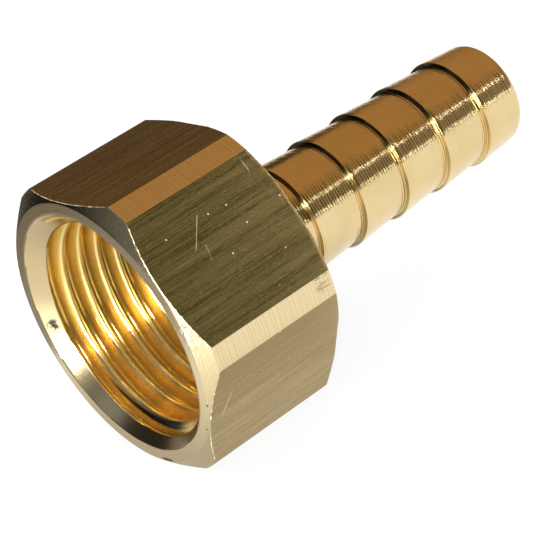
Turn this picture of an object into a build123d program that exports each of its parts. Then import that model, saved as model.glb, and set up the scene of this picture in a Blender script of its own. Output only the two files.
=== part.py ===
from build123d import *
import os
from math import radians, tan
os.makedirs("parts", exist_ok=True)

# Hose barb tail: one turned brass piece. A hexagonal socket with a parallel
# female pipe thread runs into a ribbed spigot for a 10 mm hose, and a bore
# passes right through. It lies on one wrench flat: +X runs from the threaded
# mouth to the tip, +Z is up, and the origin is under the middle of its length.

# ---- driving dimensions (mm) ----
# wrench body
across_flats = 24.0        # hexagonal bar stock
hex_length = 13.8          # mouth face to the back of the hexagon
corner_dia = 26.56         # hexagon corners turned down to this cylinder
mouth_face_dia = 23.76     # front chamfer starts at this diameter on the face
front_chamfer = 0.90       # length of the front chamfer along the axis
back_face_dia = 24.20      # back chamfer starts at this diameter
back_chamfer = 0.66        # length of the back chamfer along the axis

# threaded socket, G 1/2
thread_minor_dia = 18.631  # bore of the socket at the thread's crests
socket_depth = 11.7        # mouth face to the socket's floor
mouth_dia = 21.7           # wide end of the mouth's countersink
mouth_angle = 45.0         # countersink, between its side and the axis

# hose spigot
neck_length = 5.1          # back of the hexagon to the first shoulder
neck_dia = 9.54
neck_fillet = 0.4          # inside corner between hexagon and neck
barb_count = 5
barb_pitch = 5.05          # shoulder to shoulder
barb_crest_dia = 10.3
barb_root_dia = 9.54       # where a taper meets the next shoulder
barb_root_bevel = 0.15     # inside corner at the foot of each shoulder
tip_length = 4.7           # last shoulder to the end of the tip
tip_radius = 0.9           # rounded outer edge of the tip

# waterway
bore_dia = 7.0
bore_chamfer = 0.4         # at both ends of the bore

# ---- derived places ----
first_shoulder = hex_length + neck_length
last_shoulder = first_shoulder + (barb_count - 1) * barb_pitch
overall_length = last_shoulder + tip_length
barb_slope = (barb_crest_dia - barb_root_dia) / 2 / barb_pitch
tip_rise = barb_crest_dia / 2 - barb_slope * tip_length
mouth_depth = (mouth_dia - thread_minor_dia) / 2 / tan(radians(mouth_angle))

mouth_centre = Vector(-overall_length / 2, 0, across_flats / 2)
centre_line = Axis(mouth_centre, (1, 0, 0))
# cross sections are drawn looking along the axis, profiles beside it:
# local x runs from the mouth towards the tip, local y is the radius
across = Plane(origin=mouth_centre, x_dir=(0, 1, 0), z_dir=(1, 0, 0))
along = Plane(origin=mouth_centre, x_dir=(1, 0, 0), z_dir=(0, -1, 0))


def barb_corners():
    """The spigot's outline from the first shoulder to the start of the last taper."""
    corners = []
    for n in range(barb_count):
        shoulder = first_shoulder + n * barb_pitch
        foot = neck_dia if n == 0 else barb_root_dia
        corners.append((shoulder, foot / 2))
        corners.append((shoulder, barb_crest_dia / 2))
    return corners


with BuildPart() as hose_tail:
    # wrench body: hexagonal bar, flats up and down
    with BuildSketch(across):
        RegularPolygon(across_flats / 2, 6, major_radius=False)
    extrude(amount=hex_length)
    # lathe pass over the corners: a cylinder with a chamfer at each end
    with BuildSketch(along):
        with BuildLine():
            Polyline(
                (0, 0),
                (0, mouth_face_dia / 2),
                (front_chamfer, corner_dia / 2),
                (hex_length - back_chamfer, corner_dia / 2),
                (hex_length, back_face_dia / 2),
                (hex_length, 0),
                close=True,
            )
        make_face()
    revolve(axis=centre_line, mode=Mode.INTERSECT)

    # spigot: neck, barbs that face the hexagon, tapered tip with a round edge
    with BuildSketch(along) as spigot:
        with BuildLine():
            Polyline(
                (socket_depth, 0),
                (socket_depth, neck_dia / 2),
                *barb_corners(),
                (overall_length, tip_rise),
                (overall_length, 0),
                close=True,
            )
        make_face()
        shoulders = [first_shoulder + n * barb_pitch for n in range(barb_count)]
        feet = [
            v for v in spigot.vertices()
            if v.Y < barb_crest_dia / 2 - 0.01 and min(abs(v.X - s) for s in shoulders) < 0.001
        ]
        chamfer(feet, barb_root_bevel)
        rim = [v for v in spigot.vertices() if v.X > overall_length - 0.001 and v.Y > 0.001]
        fillet(rim, tip_radius)
    revolve(axis=centre_line)
    neck_corner = hose_tail.edges().filter_by(GeomType.CIRCLE).filter_by(
        lambda e: abs(e.radius - neck_dia / 2) < 0.001
        and abs(e.arc_center.X - mouth_centre.X - hex_length) < 0.001
    )
    fillet(neck_corner, neck_fillet)

    # threaded socket with its countersunk mouth, and the bore through the tail
    with BuildSketch(along):
        with BuildLine():
            Polyline(
                (0, 0),
                (0, mouth_dia / 2),
                (mouth_depth, thread_minor_dia / 2),
                (socket_depth, thread_minor_dia / 2),
                (socket_depth, bore_dia / 2 + bore_chamfer),
                (socket_depth + bore_chamfer, bore_dia / 2),
                (overall_length - bore_chamfer, bore_dia / 2),
                (overall_length, bore_dia / 2 + bore_chamfer),
                (overall_length, 0),
                close=True,
            )
        make_face()
    revolve(axis=centre_line, mode=Mode.SUBTRACT)

hose_tail.part.label = "hose_tail"
export_step(hose_tail.part, "parts/hose_tail.step")
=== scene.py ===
import bpy, bmesh, math
import numpy as np
from collections import namedtuple
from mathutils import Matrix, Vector


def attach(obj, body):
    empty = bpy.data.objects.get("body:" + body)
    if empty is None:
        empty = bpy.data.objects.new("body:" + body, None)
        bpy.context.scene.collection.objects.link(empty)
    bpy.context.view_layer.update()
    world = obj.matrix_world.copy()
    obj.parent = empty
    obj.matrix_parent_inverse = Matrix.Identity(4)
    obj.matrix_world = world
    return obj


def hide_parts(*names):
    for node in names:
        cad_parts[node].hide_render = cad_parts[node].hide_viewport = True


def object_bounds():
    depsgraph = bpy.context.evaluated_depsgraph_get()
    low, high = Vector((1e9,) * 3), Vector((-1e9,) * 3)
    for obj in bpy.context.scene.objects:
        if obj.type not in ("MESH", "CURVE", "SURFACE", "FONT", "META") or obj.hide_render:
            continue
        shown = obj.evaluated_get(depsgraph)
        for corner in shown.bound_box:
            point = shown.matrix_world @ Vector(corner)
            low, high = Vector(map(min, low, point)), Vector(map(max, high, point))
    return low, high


# A turned brass hose barb tail on a white table. The tail and the marks on it are worked out in
# millimetres from the mouth's face: x runs along the bore's axis to the tip, y runs across, z is
# up, r is the distance from the axis, and an angle of 90 degrees points up. Places of cards,
# lamps and the camera are in metres.

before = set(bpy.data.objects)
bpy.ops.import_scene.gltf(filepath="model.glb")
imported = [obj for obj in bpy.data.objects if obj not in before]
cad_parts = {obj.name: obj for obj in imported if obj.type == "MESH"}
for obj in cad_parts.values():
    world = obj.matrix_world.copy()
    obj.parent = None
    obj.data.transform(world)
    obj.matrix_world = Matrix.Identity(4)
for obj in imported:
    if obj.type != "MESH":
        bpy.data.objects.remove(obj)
cad_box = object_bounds()
MOUTH_X = cad_box[0][0] * 1000       # the mouth's face in the frame

# ---- sizes, as in the solid model ----
FLAT = 12.0                          # from the axis to a flat, and down to the table
LAND = 13.28                         # radius of the turned lands between the flats
HEX = 13.8                           # length of the hexagon
AXIS_Z = FLAT
FACE_R, FRONT = 11.88, 0.90          # front chamfer: its start on the face, its length at a land
BACK_R, BACK = 12.10, 0.66           # back chamfer, likewise
MOUTH_R = 10.85                      # wide end of the countersink, which slopes at 45 degrees
SOCKET = 11.7                        # depth of the socket
NECK_R, NECK_FILLET = 4.77, 0.4
SHOULDER = 18.9                      # the first barb's shoulder
BARBS, BARB_PITCH = 5, 5.05
CREST_R, ROOT_R = 5.15, 4.77         # a barb at its shoulder, and where the next one begins
LENGTH, TIP_ROUND = 43.8, 0.9
BORE_R, BORE_CHAMFER = 3.5, 0.4
FLAT_HALF = math.degrees(math.acos(FLAT / LAND))     # half the angle that a flat takes up

# ---- roundings that the solid model leaves out ----
EDGE = 0.05                          # broken edges of the hexagon, the tip and the socket's floor
BACK_EDGE = 0.04                     # the back chamfer's edges, at most
LEAST_BACK, BACK_DROP = 0.10, 0.07   # least rise and drop of the back chamfer, mid flat
BARB_FOOT, BARB_EDGE = 0.07, 0.035   # a barb's shoulder at its foot and at its crest
BORE_EDGE = 0.1

# ---- G 1/2 thread ----
MINOR_R, THREAD_DEPTH = 9.3155, 1.162
THREAD_PITCH = 1.814
THREAD_ROUND = 0.2491                # radius of its crests and roots
FLANK = 27.5                         # slope of its flanks in degrees
THREAD_START = THREAD_PITCH / 2      # a root, not a crest, lies where the helix starts
THREAD_END = 0.9                     # plain length left at the socket's floor
THREAD_FADE = 1.3                    # length over which the thread runs out before that
CREST_TO_ROOT = [0.0, 0.10, 0.19, 0.30, 0.40, 0.50, 0.60, 0.68, 0.78, THREAD_PITCH / 2]
PITCH_ROWS = 2 * len(CREST_TO_ROOT) - 2


# ---------------------------------------------------------------- profile
# x and r of a corner, the radius of its rounding and the steps round it, and the steps of the
# straight run from it to the next
Corner = namedtuple("Corner", "x r radius arc run")


def straight(start, end, steps):
    """Points on the way from start, without start, to end."""
    return [start + (end - start) * k / steps for k in range(1, steps + 1)]


def fillet(before, corner, after, radius):
    """Start, end and centre of a rounding."""
    back = (before - corner) / np.linalg.norm(before - corner)
    on = (after - corner) / np.linalg.norm(after - corner)
    half = math.acos(np.clip(back @ on, -1, 1)) / 2
    cut = radius / math.tan(half)
    centre = corner + (back + on) / np.linalg.norm(back + on) * radius / math.sin(half)
    return corner + back * cut, corner + on * cut, centre


def arc(start, end, centre, steps):
    """Points round the centre from start, without start, to end."""
    u, v = start - centre, end - centre
    angle = math.acos(np.clip(u @ v / (np.linalg.norm(u) * np.linalg.norm(v)), -1, 1))
    points = []
    for k in range(1, steps + 1):
        t = k / steps
        points.append(centre + (u * math.sin((1 - t) * angle) + v * math.sin(t * angle)) / math.sin(angle))
    return points


def rounded(corners):
    """The points (x, r) of a profile."""
    places = [np.array((corner.x, corner.r), float) for corner in corners]
    last = places[0]
    points = [last]
    for i in range(1, len(corners)):
        run = corners[i - 1].run
        if corners[i].radius == 0:
            points += straight(last, places[i], run)
            last = places[i]
            continue
        start, end, centre = fillet(places[i - 1], places[i], places[i + 1], corners[i].radius)
        points += straight(last, start, run)
        points += arc(start, end, centre, corners[i].arc)
        last = end
    return np.array(points)


def sector_angles():
    """Angles of the columns in one sixth, from the middle of a land to the next. They stand close
    together on the lands and at their edges."""
    edge = 30 - FLAT_HALF
    near = [0.0, 1.2, 2.4, 3.5, edge - 0.22, edge, edge + 0.22]
    flat = list(np.linspace(near[-1], 60 - near[-1], 29)[1:-1])
    far = [60 - angle for angle in reversed(near[1:])]
    return near + flat + far


OUTER_ANGLES = np.array([60 * sixth + angle for sixth in range(6) for angle in sector_angles()])
COLUMNS = len(OUTER_ANGLES)
INNER_ANGLES = np.arange(COLUMNS) * 360.0 / COLUMNS


def body_radius(angle):
    """Radius of the hexagon with its corners turned down."""
    off = (angle % 60) - 30
    return min(FLAT / math.cos(math.radians(off)), LAND)


def hexagon_corners(angle):
    """From the mouth over the ring, the front chamfer, the body and the back to the neck."""
    body = body_radius(angle)
    front = FRONT * (body - FACE_R) / (LAND - FACE_R)
    back = BACK * max(body - BACK_R, LEAST_BACK) / (LAND - BACK_R)
    soft = min(BACK_EDGE, 0.4 * back)
    return [
        Corner(0, MOUTH_R, 0, 0, 5),
        Corner(0, FACE_R, EDGE, 3, 5),
        Corner(front, body, EDGE, 4, 44),
        Corner(HEX - back, body, soft, 3, 4),
        Corner(HEX, min(BACK_R, body - BACK_DROP), soft / 2, 2, 8),
        Corner(HEX, NECK_R, NECK_FILLET, 6, 8),
    ]


def barb_corners():
    corners = []
    for n in range(BARBS):
        shoulder = SHOULDER + n * BARB_PITCH
        foot = NECK_R if n == 0 else ROOT_R
        corners.append(Corner(shoulder, foot, BARB_FOOT, 4, 2))
        corners.append(Corner(shoulder, CREST_R, BARB_EDGE, 3, 14))
    return corners


def tip_and_bore_corners():
    """Round the tip, through the bore and over the socket's floor to its wall."""
    slope = (CREST_R - ROOT_R) / BARB_PITCH
    tip = CREST_R - slope * (LENGTH - SHOULDER - (BARBS - 1) * BARB_PITCH)
    return [
        Corner(LENGTH, tip, TIP_ROUND, 9, 3),
        Corner(LENGTH, BORE_R + BORE_CHAMFER, EDGE, 2, 2),
        Corner(LENGTH - BORE_CHAMFER, BORE_R, BORE_EDGE, 2, 10),
        Corner(SOCKET + BORE_CHAMFER, BORE_R, BORE_EDGE, 2, 2),
        Corner(SOCKET, BORE_R + BORE_CHAMFER, EDGE, 2, 6),
        Corner(SOCKET, MINOR_R, 0, 0, 1),
    ]


def profile(angle):
    """The whole outline at one angle, from the mouth's edge to the foot of the socket's wall."""
    return rounded(hexagon_corners(angle) + barb_corners() + tip_and_bore_corners())


# ---------------------------------------------------------------- thread
def thread_radius(s):
    """Radius of the internal Whitworth thread at s along one pitch; a crest lies at s = 0."""
    from_crest = abs((s / THREAD_PITCH + 0.5) % 1.0 - 0.5) * THREAD_PITCH
    from_root = THREAD_PITCH / 2 - from_crest
    flank = math.radians(FLANK)
    reach = THREAD_ROUND * math.cos(flank)
    rise = THREAD_ROUND * (1 - math.sin(flank))
    if from_crest < reach:
        return MINOR_R + THREAD_ROUND - math.sqrt(THREAD_ROUND ** 2 - from_crest ** 2)
    if from_root < reach:
        return MINOR_R + THREAD_DEPTH - (THREAD_ROUND - math.sqrt(THREAD_ROUND ** 2 - from_root ** 2))
    return MINOR_R + rise + (from_crest - reach) / math.tan(flank)


def cut_radius(x, s):
    """Radius that the thread leaves at x, with its run-out towards the socket's floor."""
    left = min(max((SOCKET - THREAD_END - x) / THREAD_FADE, 0.0), 1.0)
    left = left * left * (3 - 2 * left)
    return MINOR_R + (thread_radius(s - THREAD_START) - MINOR_R) * left


def countersink(x):
    """Radius of the countersink's cone."""
    return MOUTH_R - x


def wall_radius(x, cut):
    """Radius of the socket where the thread would leave cut."""
    if x <= 0:
        return MOUTH_R
    if x >= SOCKET:
        return MINOR_R
    return max(cut, countersink(x))


def snap_to_countersink(column):
    """Moves the nearest row onto each place where the thread and the countersink meet."""
    for here, there in zip(column, column[1:]):
        over_here = here[1] - countersink(here[0])
        over_there = there[1] - countersink(there[0])
        if over_here * over_there < 0 and here[0] < there[0]:
            t = over_here / (over_here - over_there)
            x = here[0] + t * (there[0] - here[0])
            nearest = here if t < 0.5 else there
            if 0 < nearest[0] < SOCKET:
                nearest[:] = x, countersink(x)


def helix_rows():
    """Where the rows cross the first column, from before the mouth to past the floor."""
    root_to_crest = [THREAD_PITCH - s for s in reversed(CREST_TO_ROOT[1:-1])]
    turns = range(-2, int(SOCKET / THREAD_PITCH) + 2)
    return [turn * THREAD_PITCH + s + THREAD_START for turn in turns for s in CREST_TO_ROOT + root_to_crest]


# ---------------------------------------------------------------- mesh
def around(x, r, angle):
    """The point at x and r, this many degrees round the axis."""
    a = math.radians(angle)
    return x, r * math.cos(a), r * math.sin(a)


def grid_faces(rows, number):
    """Faces between the columns all the way round. number gives the vertex at a column and row,
    or None where there is none."""
    faces = []
    for column in range(COLUMNS):
        for row in range(rows - 1):
            corners = (number(column, row), number(column, row + 1),
                       number(column + 1, row + 1), number(column + 1, row))
            if None not in corners:
                faces.append(corners)
    return faces


def outer_share(row):
    """How far a row of the profile keeps the hexagon's columns: 0 at the mouth, 1 on the hexagon,
    and 0 from the neck on, where the columns are even."""
    corners = hexagon_corners(0)
    ring = corners[0].run
    back = sum(corner.run for corner in corners[:4]) + sum(corner.arc for corner in corners[:5])
    if row <= ring:
        return row / ring
    return min(1.0, max(1 - (row - back) / corners[4].run, 0.0))


def outer_skin():
    """Vertices and faces of all but the threaded wall."""
    profiles = [profile(angle) for angle in OUTER_ANGLES]
    rows = len(profiles[0])
    shares = [outer_share(row) for row in range(rows)]
    verts = []
    for points, outer, inner in zip(profiles, OUTER_ANGLES, INNER_ANGLES):
        for (x, r), share in zip(points, shares):
            verts.append(around(x, r, inner + share * (outer - inner)))

    def number(column, row):
        return (column % COLUMNS) * rows + row

    return verts, grid_faces(rows, number)


def threaded_skin(first):
    """Vertices and faces of the threaded wall, numbered from first. Its rows follow the helix,
    and are cut off at the mouth and at the floor."""
    helix = helix_rows()
    rows = len(helix)
    verts = []
    for angle in INNER_ANGLES:
        column = []
        for s in helix:
            x = min(max(s + THREAD_PITCH * angle / 360.0, 0.0), SOCKET)
            column.append([x, cut_radius(x, s)])
        snap_to_countersink(column)
        verts += [around(x, wall_radius(x, cut), angle) for x, cut in column]

    def number(column, row):
        if column < COLUMNS:
            return first + column * rows + row
        # after a full turn the same row has moved on by one pitch
        on = row + PITCH_ROWS
        return first + on if on < rows else None

    return verts, grid_faces(rows, number)


def add_object(name, data):
    obj = bpy.data.objects.new(name, data)
    bpy.context.collection.objects.link(obj)
    return obj


def join_skins(mesh):
    """Joins the two skins into one closed, smooth mesh. Its lengths are in metres here."""
    bm = bmesh.new()
    bm.from_mesh(mesh)
    bmesh.ops.remove_doubles(bm, verts=bm.verts, dist=1.0e-6)
    bmesh.ops.dissolve_degenerate(bm, dist=5.0e-7, edges=bm.edges)
    bmesh.ops.recalc_face_normals(bm, faces=bm.faces)
    loose = [vert for vert in bm.verts if not vert.link_faces]
    bmesh.ops.delete(bm, geom=loose, context="VERTS")
    open_edges = sum(1 for edge in bm.edges if not edge.is_manifold)
    print("tail mesh: verts", len(bm.verts), "faces", len(bm.faces), "open edges", open_edges,
          "volume mm3", round(bm.calc_volume() * 1e9, 1))
    bm.to_mesh(mesh)
    bm.free()
    mesh.polygons.foreach_set("use_smooth", [True] * len(mesh.polygons))


def build_tail():
    verts, faces = outer_skin()
    wall_verts, wall_faces = threaded_skin(len(verts))
    places = np.array(verts + wall_verts)
    places[:, 0] += MOUTH_X
    places[:, 2] += AXIS_Z
    mesh = bpy.data.meshes.new("hose_tail_turned")
    mesh.from_pydata((places / 1000).tolist(), [], faces + wall_faces)
    join_skins(mesh)
    return add_object("hose_tail_turned", mesh)


# ---------------------------------------------------------------- shader helpers
class Graph:
    """A small wrapper for building node trees with sockets and plain numbers."""
    def __init__(self, tree):
        self.tree = tree
        tree.nodes.clear()

    def node(self, kind, settings=None, **inputs):
        n = self.tree.nodes.new(kind)
        for key, value in (settings or {}).items():
            setattr(n, key, value)
        for key, value in inputs.items():
            self.put(n.inputs[key.replace("_", " ")], value)
        return n

    def put(self, socket, value):
        if isinstance(value, bpy.types.NodeSocket):
            self.tree.links.new(value, socket)
        elif isinstance(value, (tuple, list)) and len(value) == 3 and len(socket.default_value) == 4:
            socket.default_value = (*value, 1.0)
        else:
            socket.default_value = value

    def math(self, op, a, b=0.0):
        n = self.node("ShaderNodeMath", {"operation": op})
        self.put(n.inputs[0], a)
        self.put(n.inputs[1], b)
        return n.outputs[0]

    def chain(self, op, parts):
        out = parts[0]
        for part in parts[1:]:
            out = self.math(op, out, part)
        return out

    def add(self, *parts):
        return self.chain("ADD", parts)

    def times(self, *parts):
        return self.chain("MULTIPLY", parts)

    def most(self, *parts):
        return self.chain("MAXIMUM", parts)

    def minus(self, a, b):
        return self.math("SUBTRACT", a, b)

    def without(self, part):
        """1 where part is 0, and 0 where it is 1."""
        return self.minus(1.0, part)

    def magnitude(self, a):
        return self.math("ABSOLUTE", a)

    def vec(self, op, a, b=(0, 0, 0)):
        n = self.node("ShaderNodeVectorMath", {"operation": op})
        self.put(n.inputs[0], a)
        self.put(n.inputs[1], b)
        return n.outputs["Value" if op in ("LENGTH", "DOT_PRODUCT", "DISTANCE") else "Vector"]

    def split(self, vector):
        return self.node("ShaderNodeSeparateXYZ", Vector=vector).outputs

    def join(self, x, y, z):
        return self.node("ShaderNodeCombineXYZ", X=x, Y=y, Z=z).outputs[0]

    def place(self):
        """The place on the object, in metres."""
        return self.node("ShaderNodeTexCoord").outputs["Object"]

    def millimetres(self):
        """The place on the object, in millimetres."""
        scaled = self.node("ShaderNodeVectorMath", {"operation": "SCALE"}, Scale=1000.0)
        self.put(scaled.inputs[0], self.place())
        return scaled.outputs["Vector"]

    def step(self, x, lo, hi, a=0.0, b=1.0):
        """Goes smoothly from a to b while x goes from lo to hi."""
        return self.node("ShaderNodeMapRange", {"interpolation_type": "SMOOTHSTEP"},
                         Value=x, From_Min=lo, From_Max=hi, To_Min=a, To_Max=b).outputs[0]

    def mix(self, share, a, b):
        """Colour a, or b where share is 1."""
        n = self.node("ShaderNodeMix", {"data_type": "RGBA"})
        self.put(n.inputs[0], share)
        self.put(n.inputs[6], a)
        self.put(n.inputs[7], b)
        return n.outputs[2]

    def noise(self, vector, scale=1.0, detail=2.0, rough=0.5, seed=0.0):
        """Noise over places; another seed gives another pattern."""
        moved = self.vec("ADD", vector, (seed, seed * 0.7, seed * 1.3))
        return self.node("ShaderNodeTexNoise", {"noise_dimensions": "3D"}, Vector=moved,
                         Scale=scale, Detail=detail, Roughness=rough).outputs[0]

    def stretched(self, vector, stretch, detail, rough, seed):
        """Noise that is the finer along an axis the larger its stretch is."""
        return self.noise(self.vec("MULTIPLY", vector, stretch), 1.0, detail, rough, seed)

    def noise_along(self, w, scale, detail=2.0, rough=0.5):
        """Noise over one number."""
        return self.node("ShaderNodeTexNoise", {"noise_dimensions": "1D"}, W=w,
                         Scale=scale, Detail=detail, Roughness=rough).outputs[0]

    def spot(self, p, centre, size):
        """1 near a place, and 0 beyond one and a half times size from it."""
        return self.step(self.vec("DISTANCE", p, centre), size * 1.5, size * 0.6)

    def line(self, p, start, end, width):
        """1 on the straight mark from start to end, and 0 beyond width from it."""
        start, end = Vector(start), Vector(end)
        course = (end - start).normalized()
        length = (end - start).length
        away = self.vec("SUBTRACT", p, tuple(start))
        along = self.vec("DOT_PRODUCT", away, tuple(course))
        off = self.vec("LENGTH", self.vec("CROSS_PRODUCT", away, tuple(course)))
        inside = self.times(self.step(along, -0.1, 0.1), self.step(along, length + 0.1, length - 0.1))
        return self.times(self.step(off, width, width * 0.3), inside)


def new_material(name):
    mat = bpy.data.materials.new(name)
    mat.use_nodes = True
    return mat, Graph(mat.node_tree)


# ---------------------------------------------------------------- brass
BRASS_PALE = (0.80, 0.63, 0.335)
BRASS_DEEP = (0.74, 0.57, 0.285)
BRASS_STREAK = (0.55, 0.40, 0.175)
NUT_PALE = (0.81, 0.66, 0.385)
SINK_TINT = (0.66, 0.52, 0.29)
THREAD_GOLD = (0.885, 0.665, 0.185)
THREAD_AMBER = (0.89, 0.63, 0.18)
# the crest colour stands for a painted highlight, and the root colour for painted shade
THREAD_CREST_HIGHLIGHT = (0.96, 0.83, 0.46)
THREAD_ROOT_SHADE = (0.36, 0.20, 0.05)
# pale colour of rubbed metal, also used for painted glints and edge highlights
RUBBED_AND_GLINT = (0.90, 0.85, 0.66)
# dark colour of dirt in nicks and specks, also used for painted shade
DIRT_AND_SHADE = (0.05, 0.045, 0.035)

# marks of the drawing die and the grain: how finely they vary along and across the bar, detail,
# roughness, seed, height in millimetres, and share in the streaks
DIE_MARKS = [((0.12, 9.0, 9.0), 4, 0.7, 11.0, 0.0052, 0.45),
             ((0.06, 1.6, 1.6), 3, 0.6, 23.0, 0.0030, 0.22),
             ((5.0, 8.0, 8.0), 3, 0.7, 31.0, 0.0085, 0.33)]

# marks of the lathe's tool: pitch along the profile and height, both in millimetres
NUT_FEED, NUT_RIDGE, LAND_RIDGE = 0.2, 0.0008, 0.0042
TAIL_FEED, TAIL_RIDGE_LEAST, TAIL_RIDGE_MOST = 0.27, 0.0028, 0.0068
TAIL_WANDER = 4.0                    # how far the tail's ridges stray from their pitch, in radians
# heights in millimetres
TAIL_COARSE = 0.006
NUT_UNEVEN, TAIL_UNEVEN = 0.010, 0.005
LAND_GRAIN, TAIL_GRAIN, CHAMFER_GRAIN = 0.006, 0.004, 0.030
CRACK_HEIGHT, SCORE_HEIGHT = 0.10, 0.06
CHATTER_HEIGHT, THREAD_FEED_HEIGHT, BURR_HEIGHT = 0.004, 0.014, 0.12

# small nicks on the two flats that face the camera: the flat, x, and the distance across it from
# its middle
UPPER_FLAT, LOWER_FLAT = 150, 210    # degrees round the axis
NICK_SIZE, NICK_GLINT = 0.055, 0.7
NICKS = [(UPPER_FLAT, 2.89, -3.01), (UPPER_FLAT, 7.13, -2.98), (UPPER_FLAT, 8.87, -2.83),
         (UPPER_FLAT, 9.55, -0.85), (UPPER_FLAT, 13.3, -1.24), (UPPER_FLAT, 7.0, 0.58),
         (UPPER_FLAT, 11.1, 2.42), (LOWER_FLAT, 7.1, -5.61)]
# scratches there: the flat, start, end, width and how bright
SCRATCHES = [(UPPER_FLAT, (6.29, -3.37), (4.52, -1.14), 0.06, 0.22),
             (UPPER_FLAT, (12.23, -5.17), (12.26, -4.11), 0.05, 0.35),
             (UPPER_FLAT, (5.5, -1.22), (5.14, 0.32), 0.05, 0.15),
             (LOWER_FLAT, (2.27, -2.18), (1.32, -0.1), 0.06, 0.35)]

# marks on the turned surfaces: centre and size, or start, end and width
CHIP = (0.3, -12.05, 2.3), 0.95      # on the front chamfer, near a corner
DENT = (12.2, -13.27, 0.5), 0.75     # on the land beside it, near the back
RING_NICK = (0, -1.0, -11.68), (0, -2.4, -11.58), 0.16
SINK_SPOT = (0.54, 10.19, -1.53), 0.5
RING_SPECKS = [((0.0, -11.12, -4.09), 0.10), ((0.0, -9.72, -6.63), 0.09)]
THREAD_SPOT = (8.4, 9.27, -3.49), 0.16

# a place on the tail: the point p, its parts, its distance r from the axis, and a ragged noise
Place = namedtuple("Place", "p x y z r ragged")


def tail_place(g):
    p = g.vec("SUBTRACT", g.millimetres(), (MOUTH_X, 0, AXIS_Z))
    x, y, z = g.split(p)
    r = g.math("SQRT", g.add(g.times(y, y), g.times(z, z)))
    ragged = g.noise(p, scale=2.2, detail=3, rough=0.7, seed=51.0)
    return Place(p, x, y, z, r, ragged)


def metal_surface(g, colour, metal, rough, height):
    """The shader of a surface whose marks have this height in millimetres."""
    bump = g.node("ShaderNodeBump", Height=g.times(height, 0.001), Strength=1.0, Distance=1.0)
    surface = g.node("ShaderNodeBsdfPrincipled", Base_Color=colour, Metallic=metal,
                     Roughness=rough, Normal=bump.outputs[0])
    g.node("ShaderNodeOutputMaterial", Surface=surface.outputs[0])
    return surface


def rubbed_edge_highlights(g, at):
    """The hexagon's edges are rubbed bright in places, and carry a painted highlight along them."""
    chamfer = g.times(g.minus(at.r, FACE_R), FRONT / (LAND - FACE_R))
    on_corner = g.step(at.r, LAND - 0.2, LAND - 0.1)
    from_front = g.add(g.minus(at.x, chamfer), g.times(on_corner, 0.3))
    from_back = g.magnitude(g.minus(HEX, at.x))
    away = g.math("MINIMUM", from_front, from_back)
    away = g.add(away, g.times(g.minus(at.ragged, 0.5), 0.35))
    rub = g.times(g.step(away, 0.10, 0.03), g.step(at.r, 11.9, 12.0))
    worn = g.noise(at.p, scale=4.5, detail=2, rough=0.6, seed=91.0)
    return g.times(rub, g.step(worn, 0.42, 0.60, 0.15, 0.95))


def on_flat(turn, x, across):
    """The point on the flat that faces this many degrees round the axis."""
    a = math.radians(turn)
    return x, FLAT * math.cos(a) - across * math.sin(a), FLAT * math.sin(a) + across * math.cos(a)


def wear_and_glint_metal(g, bright):
    """Rubbed and scratched places, and painted glints, scatter light more than they mirror it."""
    return g.without(g.times(bright, 0.7))


def lower_flat_shade(g, at):
    """Painted shade on the flats of the lower half, darkest near their top edge."""
    lower = g.times(g.step(at.z, -9.0, -1.0), g.step(at.z, 0.4, 0.0))
    return g.times(lower, g.step(at.z, -3.2, -0.8, 0.10, 0.16))


def flat_marks(g, at):
    """Painted glints as small bright flecks, with nicks and handling scratches."""
    # the flecks are painted glints
    flecks = g.noise(g.vec("MULTIPLY", at.p, (1.0, 1.6, 1.6)), scale=4.5, detail=1, seed=77.0)
    nicks = [g.times(g.spot(at.p, on_flat(*nick), NICK_SIZE), NICK_GLINT) for nick in NICKS]
    scratches = [g.times(g.line(at.p, on_flat(flat, *start), on_flat(flat, *end), width), glint)
                 for flat, start, end, width, glint in SCRATCHES]
    return g.most(*nicks, g.step(flecks, 0.76, 0.80, 0.0, 0.35), *scratches)


def drawn_brass():
    """The flats, with the marks of the drawing die along the bar."""
    mat, g = new_material("brass_drawn")
    at = tail_place(g)
    heights, streaks = [], []
    for stretch, detail, noise_rough, seed, height, share in DIE_MARKS:
        marks = g.stretched(at.p, stretch, detail, noise_rough, seed)
        heights.append(g.times(marks, height))
        streaks.append(g.times(marks, share))
    streak = g.add(*streaks, lower_flat_shade(g, at))
    colour = g.mix(g.step(streak, 0.43, 0.60, 0.10, 0.90), BRASS_PALE, BRASS_STREAK)
    bright = g.most(flat_marks(g, at), rubbed_edge_highlights(g, at))
    rough = g.step(streak, 0.38, 0.62, 0.26, 0.18)
    metal_surface(g, g.mix(bright, colour, RUBBED_AND_GLINT), wear_and_glint_metal(g, bright), rough, g.add(*heights))
    return mat


def on_tail_and_lands(g, at):
    """1 on the tail, and 1 on the lands between the flats."""
    tail = g.step(at.x, HEX - 0.05, HEX + 0.05)
    return tail, g.times(g.step(at.r, LAND - 0.12, LAND - 0.04), g.without(tail))


def ridges(g, along, pitch, wander=0.0):
    """Waves along the profile, one in each pitch."""
    return g.math("SINE", g.add(g.times(along, 2 * math.pi / pitch), wander))


def tail_marks(g, at, along, tail):
    """The tail's tool marks, which are broken up and unevenly spaced."""
    wander = g.times(g.noise_along(along, 2.3), TAIL_WANDER)
    broken = g.stretched(at.p, (3.0, 1.0, 1.0), detail=3, rough=0.7, seed=63.0)
    ridge = g.step(broken, 0.35, 0.62, TAIL_RIDGE_LEAST, TAIL_RIDGE_MOST)
    feed = g.times(ridges(g, along, TAIL_FEED, wander), tail, ridge)
    coarse = g.noise_along(along, 2.2, detail=2, rough=0.6)
    return g.add(feed, g.times(coarse, tail, TAIL_COARSE))


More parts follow.
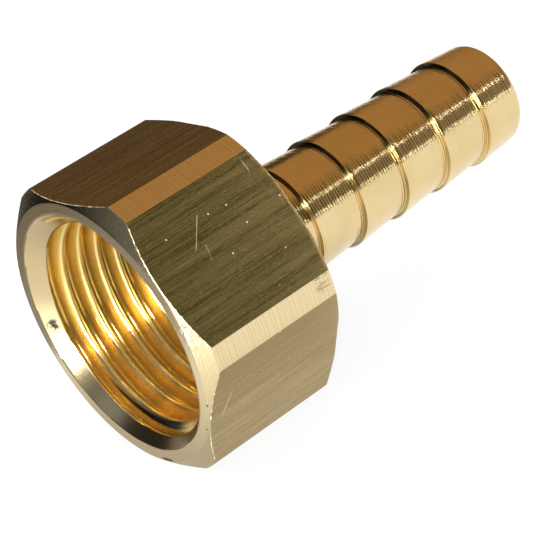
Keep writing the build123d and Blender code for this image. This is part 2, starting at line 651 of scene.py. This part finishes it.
def turned_height(g, at, along, uneven, tail, land):
    """Marks of the lathe's tool, and a fine grain."""
    grain = g.noise(at.p, scale=5.0, detail=3, rough=0.7, seed=31.0)
    chamfer = g.times(g.step(at.r, FACE_R, FACE_R + 0.08), g.step(at.x, 0.95, 0.90))
    feed = g.times(ridges(g, along, NUT_FEED), g.add(NUT_RIDGE, g.times(land, LAND_RIDGE)))
    grain_height = g.add(g.times(land, LAND_GRAIN), g.times(tail, TAIL_GRAIN),
                         g.times(chamfer, CHAMFER_GRAIN))
    return g.add(feed, tail_marks(g, at, along, tail),
                 g.times(uneven, g.step(tail, 0.0, 1.0, NUT_UNEVEN, TAIL_UNEVEN)),
                 g.times(grain, grain_height))


def turned_colour(g, at, uneven, tail):
    """Mottled brass on the tail, paler on the hexagon and greyer in the countersink."""
    mottle = g.noise(at.p, scale=0.35, detail=3, seed=4.0)
    tone = g.mix(g.step(mottle, 0.3, 0.7), BRASS_DEEP, BRASS_PALE)
    tone = g.mix(tail, NUT_PALE, tone)
    sink = g.times(g.step(at.r, MOUTH_R, MOUTH_R - 0.06), g.step(at.r, 9.0, 9.1), g.step(at.x, 3.0, 2.9))
    tone = g.mix(g.times(sink, g.step(at.z, -7.0, -2.0)), tone, SINK_TINT)
    lines = g.times(g.step(uneven, 0.42, 0.66, 0.0, 0.45), g.step(tail, 0.0, 1.0, 1.0, 0.45))
    return g.mix(lines, tone, BRASS_STREAK)


def chipped_corner(g, at):
    """The front chamfer was chipped near a corner. Gives the height, the painted glints on its high places
    and the darkening of its low places.
    """
    outline = g.noise(at.p, scale=1.3, detail=3, rough=0.7, seed=5.0)
    chip = g.times(g.spot(at.p, *CHIP), g.step(outline, 0.40, 0.56))
    over_flat = g.add(g.times(at.y, 0.5), g.times(at.z, 0.866))
    crack_place = g.join(g.times(at.x, 4.0), g.times(over_flat, 0.9), g.times(at.r, 4.0))
    cracks = g.noise(crack_place, scale=1.0, detail=3, rough=0.7, seed=13.0)
    bright = g.times(chip, g.step(cracks, 0.53, 0.58, 0.0, 0.9))
    dark = g.times(chip, g.step(cracks, 0.45, 0.40, 0.0, 0.6))
    return g.times(cracks, chip, CRACK_HEIGHT), bright, dark


def scored_dent(g, at):
    """Scores on a land. Gives the height and the dirt."""
    dent = g.spot(at.p, *DENT)
    scores = g.stretched(at.p, (0.8, 5.0, 5.0), detail=2, rough=0.6, seed=17.0)
    dark = g.times(dent, g.step(scores, 0.47, 0.42, 0.0, 0.45))
    return g.times(scores, dent, SCORE_HEIGHT), dark


def barb_foot_shade(g, at):
    """Painted shade at the foot of the barbs' shoulders, on the upper half."""
    past = g.math("FLOORED_MODULO", g.minus(at.x, SHOULDER - 0.12), BARB_PITCH)
    foot = g.times(g.step(past, 0.20, 0.13), g.step(at.x, SHOULDER - 0.2, SHOULDER - 0.12),
                   g.step(at.r, CREST_R - 0.03, CREST_R - 0.10))
    return g.times(foot, g.step(at.z, 0.8, 3.6, 0.0, 0.9))


def dirty_places(g, at):
    """The dark nick and specks on the ring, and the dark spot on the countersink."""
    sink_spot = g.times(g.spot(at.p, *SINK_SPOT), g.step(at.ragged, 0.42, 0.56))
    specks = [g.spot(at.p, centre, size) for centre, size in RING_SPECKS]
    return g.most(g.line(at.p, *RING_NICK), sink_spot, *specks)


def turned_brass():
    """The ring, the countersink, the chamfers, the lands, the neck and the barbs."""
    mat, g = new_material("brass_turned")
    at = tail_place(g)
    tail, land = on_tail_and_lands(g, at)
    along = g.add(at.x, at.r)
    uneven = g.noise_along(along, 9.0, detail=3, rough=0.7)
    chip_height, chip_bright, chip_dark = chipped_corner(g, at)
    dent_height, dent_dark = scored_dent(g, at)
    height = g.add(turned_height(g, at, along, uneven, tail, land), chip_height, dent_height)
    bright = g.most(chip_bright, g.times(rubbed_edge_highlights(g, at), land))
    dark = g.most(chip_dark, dent_dark, dirty_places(g, at), barb_foot_shade(g, at))
    colour = g.mix(bright, turned_colour(g, at, uneven, tail), RUBBED_AND_GLINT)
    rough = g.add(g.step(uneven, 0.3, 0.7, 0.24, 0.18), g.times(tail, -0.085))
    metal_surface(g, g.mix(dark, colour, DIRT_AND_SHADE), wear_and_glint_metal(g, bright), rough, height)
    return mat


def thread_height(g, at, turn):
    """Chatter of the tool across the helix, its feed along it, and a burr at the countersink."""
    chatter = g.noise_along(g.times(turn, 9.3), 6.0, detail=2, rough=0.6)
    feed = g.noise_along(g.add(at.x, g.times(at.r, 2.0)), 8.0, detail=3, rough=0.7)
    burr = g.step(g.magnitude(g.minus(g.add(at.r, at.x), MOUTH_R)), 0.40, 0.10)
    return g.add(g.times(chatter, CHATTER_HEIGHT), g.times(feed, THREAD_FEED_HEIGHT),
                 g.times(at.ragged, burr, BURR_HEIGHT))


def thread_colour(g, at):
    """Redder low down, with painted shade in the roots and painted highlights on the crests."""
    colour = g.mix(g.step(at.z, -6.5, 1.0), THREAD_AMBER, THREAD_GOLD)
    root = g.times(g.step(at.r, 9.95, 10.35), g.step(at.x, 0.7, 1.3))
    colour = g.mix(g.times(root, 0.38), colour, THREAD_ROOT_SHADE)
    return g.mix(g.step(at.r, 9.65, 9.40, 0.0, 0.50), colour, THREAD_CREST_HIGHLIGHT)


def dark_crest_reflection(g, at, turn):
    """A painted dark reflection on the first crest at the bottom of the mouth."""
    bottom = g.times(g.step(turn, -2.02, -1.75), g.step(turn, -0.62, -0.95))
    crest = g.times(g.step(g.magnitude(g.minus(at.x, 1.6)), 0.55, 0.40), g.step(at.r, 10.05, 9.85))
    return g.times(bottom, crest)


def thread_brass():
    """The threaded wall and the bore. The tool's marks run round them and draw the highlights
    out along the bore."""
    mat, g = new_material("brass_thread")
    at = tail_place(g)
    turn = g.math("ARCTAN2", at.z, at.y)
    dark = g.most(g.spot(at.p, *THREAD_SPOT), dark_crest_reflection(g, at, turn))
    colour = g.mix(dark, thread_colour(g, at), DIRT_AND_SHADE)
    spots = g.noise(at.p, scale=1.6, detail=3, seed=8.0)
    rough = g.add(g.step(spots, 0.3, 0.7, 0.17, 0.13), g.step(at.z, -3.0, 4.0, 0.0, 0.10))
    surface = metal_surface(g, colour, 0.96, rough, thread_height(g, at, turn))
    round_bore = g.node("ShaderNodeTangent", {"direction_type": "RADIAL", "axis": "X"})
    g.put(surface.inputs["Tangent"], round_bore.outputs[0])
    surface.inputs["Anisotropic"].default_value = 0.6
    surface.inputs["Anisotropic Rotation"].default_value = 0.25
    return mat


TURNED, DRAWN, THREAD = range(3)


def kind_of_face(face):
    """The material's number for a face: drawn flats, the thread and the bore, or turned."""
    x, y, z = face.center * 1000
    x, z = x - MOUTH_X, z - AXIS_Z
    r = math.hypot(y, z)
    off_flat = abs(math.degrees(math.atan2(z, y)) % 60 - 30)
    outward = (y * face.normal.y + z * face.normal.z) / max(r, 0.001)
    if r > FLAT - 0.7 and outward > 0.88 and off_flat < FLAT_HALF:
        return DRAWN
    in_socket = 0.01 < x < SOCKET - 0.05 and r < MINOR_R + THREAD_DEPTH + 0.12
    if r < BORE_R + 0.1 or in_socket and abs(r - countersink(x)) > 0.03:
        return THREAD
    return TURNED


def dress_tail(obj):
    for mat in (turned_brass(), drawn_brass(), thread_brass()):
        obj.data.materials.append(mat)
    for face in obj.data.polygons:
        face.material_index = kind_of_face(face)


tail = build_tail()
dress_tail(tail)
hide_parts("hose_tail")
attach(tail, "root")


# ---------------------------------------------------------------- table
TABLE_R, TABLE_SIDES = 0.9, 64
TABLE_GLOW, TABLE_LIT = 0.97, (0.06, 0.06, 0.06)
TABLE_PLAIN = (0.85, 0.85, 0.86)
NUT_MIDDLE = MOUTH_X + HEX / 2       # along x, in millimetres
NUT_SIDE = 13.0                      # half the width of the nut's shade, in millimetres
CONTACT_REACH = 0.022                # how far the contact shadow reaches, in metres


def add_table():
    turns = (2 * math.pi * side / TABLE_SIDES for side in range(TABLE_SIDES))
    rim = [(TABLE_R * math.cos(a), TABLE_R * math.sin(a), 0.0) for a in turns]
    mesh = bpy.data.meshes.new("table")
    mesh.from_pydata(rim, [], [tuple(range(len(rim)))])
    mesh.materials.append(white_table())
    return add_object("table", mesh)


def shade_near_nut(g, x, y):
    """The table grows lighter from the nut's foot outwards, and sooner in front of the mouth."""
    along = g.most(g.minus(g.magnitude(g.minus(x, NUT_MIDDLE)), HEX / 2), 0.0)
    along = g.times(along, g.step(x, -22.0, -24.0, 1.0, 1.5))
    across = g.most(g.minus(g.magnitude(y), NUT_SIDE), 0.0)
    gap = g.math("SQRT", g.add(g.times(along, along), g.times(across, across)))
    return g.step(gap, 0.0, 19.0, 0.45, 1.0)


def shade_behind(g, x, y):
    """It is dark behind the nut, apart from a strip that the ring's edge mirrors."""
    behind = g.times(g.step(y, 10.0, 18.0), g.step(x, 14.0, 4.0))
    strip = g.times(g.step(x, -34.0, -29.0), g.step(x, -19.0, -22.0), g.step(y, 30.0, 24.0))
    return g.without(g.times(behind, g.without(strip), g.step(x, -24.0, -17.0, 0.76, 0.93)))


def mirrored_table(g):
    """How bright the metal sees the table, with a bright place under the lamp at the left. Places
    are in millimetres from the frame's origin."""
    x, y = g.split(g.millimetres())[:2]
    lamp_spot = g.times(g.step(x, -43.0, -52.0), g.step(y, 12.0, 6.0), g.step(y, -16.0, -10.0))
    return g.add(g.times(shade_near_nut(g, x, y), shade_behind(g, x, y)), g.times(lamp_spot, 1.5))


def white_table():
    """White to the camera with a faint contact shadow, shaded to the metal, and a plain pale
    surface to all other light."""
    mat, g = new_material("table_white")
    ray = g.node("ShaderNodeLightPath").outputs
    mirrored = ray["Is Glossy Ray"]
    contact = g.node("ShaderNodeAmbientOcclusion", {"samples": 8}, Distance=CONTACT_REACH).outputs["AO"]
    shadow = g.step(contact, 0.45, 0.97, 0.90, 1.0)
    bright = g.add(g.times(mirrored_table(g), mirrored), g.times(shadow, g.without(mirrored)))
    white = g.node("ShaderNodeAddShader")
    g.put(white.inputs[0], g.node("ShaderNodeBsdfDiffuse", Color=TABLE_LIT).outputs[0])
    glow = g.node("ShaderNodeEmission", Color=(1.0, 1.0, 1.0), Strength=g.times(bright, TABLE_GLOW))
    g.put(white.inputs[1], glow.outputs[0])
    seen = g.most(ray["Is Camera Ray"], mirrored, ray["Is Transmission Ray"])
    pick = g.node("ShaderNodeMixShader", Fac=seen)
    g.put(pick.inputs[1], g.node("ShaderNodeBsdfDiffuse", Color=TABLE_PLAIN).outputs[0])
    g.put(pick.inputs[2], white.outputs[0])
    g.node("ShaderNodeOutputMaterial", Surface=pick.outputs[0])
    return mat


table = add_table()


# ---------------------------------------------------------------- what only the metal sees
ROOM_R = 0.8
CEILING = (0.43, 0.25, 0.107)
WALL_FAR = (0.20, 0.125, 0.075)
WALL_BACK = (0.30, 0.175, 0.078)
WALL_RIGHT = (0.32, 0.25, 0.19)
WALL_CAMERA = (0.068, 0.073, 0.033)
LEFT_BLACK = (0.015, 0.014, 0.014)
LEFT_BLUE = (0.06, 0.07, 0.095)
LEFT_GREY = (0.24, 0.26, 0.30)
LEFT_DARK = (0.012, 0.011, 0.010)
LEFT_DIM = (0.07, 0.07, 0.07)
FLAG_FOOT = (0.21, 0.185, 0.18)
FLAG_DARK = (0.010, 0.011, 0.012)
CARD_DARK = (0.080, 0.057, 0.037)


def mirror_only(obj, name, tone):
    """Gives an object a glow of its own that nothing but reflections shows. tone builds the
    colour in the material's graph."""
    mat, g = new_material(name)
    glow = g.node("ShaderNodeEmission", Color=tone(g), Strength=1.0)
    g.node("ShaderNodeOutputMaterial", Surface=glow.outputs[0])
    mat.cycles.emission_sampling = "NONE"
    obj.data.materials.append(mat)
    obj.visible_camera = False
    obj.visible_diffuse = False
    obj.visible_shadow = False
    obj.visible_transmission = False
    return obj


def wide_wall(g, elev, azim):
    """The walls far off, to the right and at the back, under a warm ceiling that starts a little
    higher at the back."""
    wall = g.mix(g.step(azim, 10, 40), WALL_FAR, WALL_BACK)
    wall = g.mix(g.step(azim, -10, -30), wall, WALL_RIGHT)
    rise = g.step(azim, 25, 50, 0.0, 3.0)
    return g.mix(g.step(g.minus(elev, rise), 21, 27), wall, CEILING)


def camera_side(g, elev, azim):
    """1 on the side that the camera stands on, up to half way."""
    edge = g.step(elev, 20, 26, -51.0, -44.0)
    return g.times(g.step(g.minus(azim, edge), 2.5, -2.5), g.step(elev, 58, 44))


def left_side(g, elev, azim):
    """1 at the left, apart from where the camera's side reaches round to it."""
    left = g.times(g.step(g.magnitude(azim), 95, 110), g.step(elev, 82, 70))
    return g.times(left, g.without(g.times(g.step(azim, 0, -1), g.step(azim, -155, -140))))


def left_wall(g, elev, azim):
    """Low down nearly black at the back and blue grey towards the left, with greys above."""
    low = g.mix(g.step(azim, 138, 150), LEFT_BLACK, LEFT_BLUE)
    top = g.times(g.step(elev, 37, 44), g.step(azim, 150, 135))
    high = g.mix(g.step(azim, 160, 130), g.mix(top, LEFT_GREY, LEFT_DARK), LEFT_DIM)
    return g.mix(g.step(elev, 20, 26), low, high)


def room_tone(g):
    """A dim room around the table, by elevation and azimuth in degrees."""
    x, y, z = g.split(g.vec("NORMALIZE", g.place()))
    elev = g.times(g.math("ARCSINE", z), 180 / math.pi)
    azim = g.times(g.math("ARCTAN2", y, x), 180 / math.pi)
    room = g.mix(camera_side(g, elev, azim), wide_wall(g, elev, azim), WALL_CAMERA)
    return g.mix(left_side(g, elev, azim), room, left_wall(g, elev, azim))


def add_shell():
    """The room's walls and ceiling: a dome that reaches just under the table."""
    mesh = bpy.data.meshes.new("studio_shell")
    bm = bmesh.new()
    bmesh.ops.create_uvsphere(bm, u_segments=96, v_segments=48, radius=ROOM_R)
    bmesh.ops.delete(bm, geom=[vert for vert in bm.verts if vert.co.z < -0.03], context="VERTS")
    bm.to_mesh(mesh)
    bm.free()
    return mirror_only(add_object("studio_shell", mesh), "studio_walls", room_tone)


def upright(name, start, end, bottom, top):
    """A standing rectangle from start to end, both (x, y)."""
    mesh = bpy.data.meshes.new(name)
    corners = [(*start, bottom), (*end, bottom), (*end, top), (*start, top)]
    mesh.from_pydata(corners, [], [(0, 1, 2, 3)])
    return add_object(name, mesh)


def flag_tone(g):
    """Grey at the flag's foot, and dark above."""
    height = g.split(g.place())[2]
    return g.mix(g.step(height, 0.008, 0.015), FLAG_FOOT, FLAG_DARK)


def card_tone(g):
    return CARD_DARK


def white_world():
    """Plain white behind all that the camera sees, and plain light elsewhere."""
    world = bpy.data.worlds.new("studio")
    bpy.context.scene.world = world
    world.use_nodes = True
    g = Graph(world.node_tree)
    background = g.node("ShaderNodeBackground", Color=(1.0, 1.0, 1.0), Strength=1.0)
    g.node("ShaderNodeOutputWorld", Surface=background.outputs[0])


shell = add_shell()
white_world()

# a dark flag at the back left, which the mouth's rim sees in place of the table
flag = upright("studio_flag", (-0.120, 0.046), (-0.020, 0.046), 0.0, 0.075)
mirror_only(flag, "flag_grey", flag_tone)

# and a dark card behind, which only the top flat sees
card = upright("studio_card", (0.002, 0.118), (0.068, 0.081), 0.030, 0.092)
mirror_only(card, "card_dark", card_tone)


# ---------------------------------------------------------------- lamps and camera
LAMP_REACH = 0.6
LAMP_AIM = (0, 0, AXIS_Z / 1000)
CAMERA_PLACE = (-0.09193, -0.13913, 0.08241)
CAMERA_TURN = (64.637, 17.443, -39.862)
CAMERA_LENS, CAMERA_SENSOR = 143.2, 36.0

# name, azimuth and elevation in degrees, width and height in metres, watts
LAMPS = [("lamp_left", -153, 4, 0.21, 0.20, 2.8),
         ("lamp_camera", -123.5, 27, 0.06, 0.045, 7.0),
         ("lamp_strip", -44, 24, 0.14, 0.006, 0.045),
         ("lamp_horizon", -46, 1.2, 0.14, 0.006, 0.030)]


def add_lamp(name, azimuth, elevation, width, height, power):
    data = bpy.data.lights.new(name, "AREA")
    data.shape = "RECTANGLE"
    data.size, data.size_y = width, height
    data.energy = power
    lamp = add_object(name, data)
    a, e = math.radians(azimuth), math.radians(elevation)
    way = Vector((math.cos(e) * math.cos(a), math.cos(e) * math.sin(a), math.sin(e)))
    lamp.location = Vector(LAMP_AIM) + way * LAMP_REACH
    lamp.rotation_euler = (-way).to_track_quat("-Z", "Y").to_euler()
    lamp.visible_camera = False


def add_camera():
    data = bpy.data.cameras.new("camera")
    data.sensor_fit = "HORIZONTAL"
    data.sensor_width = CAMERA_SENSOR
    data.lens = CAMERA_LENS
    data.clip_start = 0.01
    data.clip_end = 5.0
    camera = add_object("camera", data)
    camera.location = CAMERA_PLACE
    camera.rotation_euler = tuple(math.radians(turn) for turn in CAMERA_TURN)
    return camera


for lamp in LAMPS:
    add_lamp(*lamp)
bpy.context.scene.camera = add_camera()
bpy.context.scene.view_settings.view_transform = "Standard"
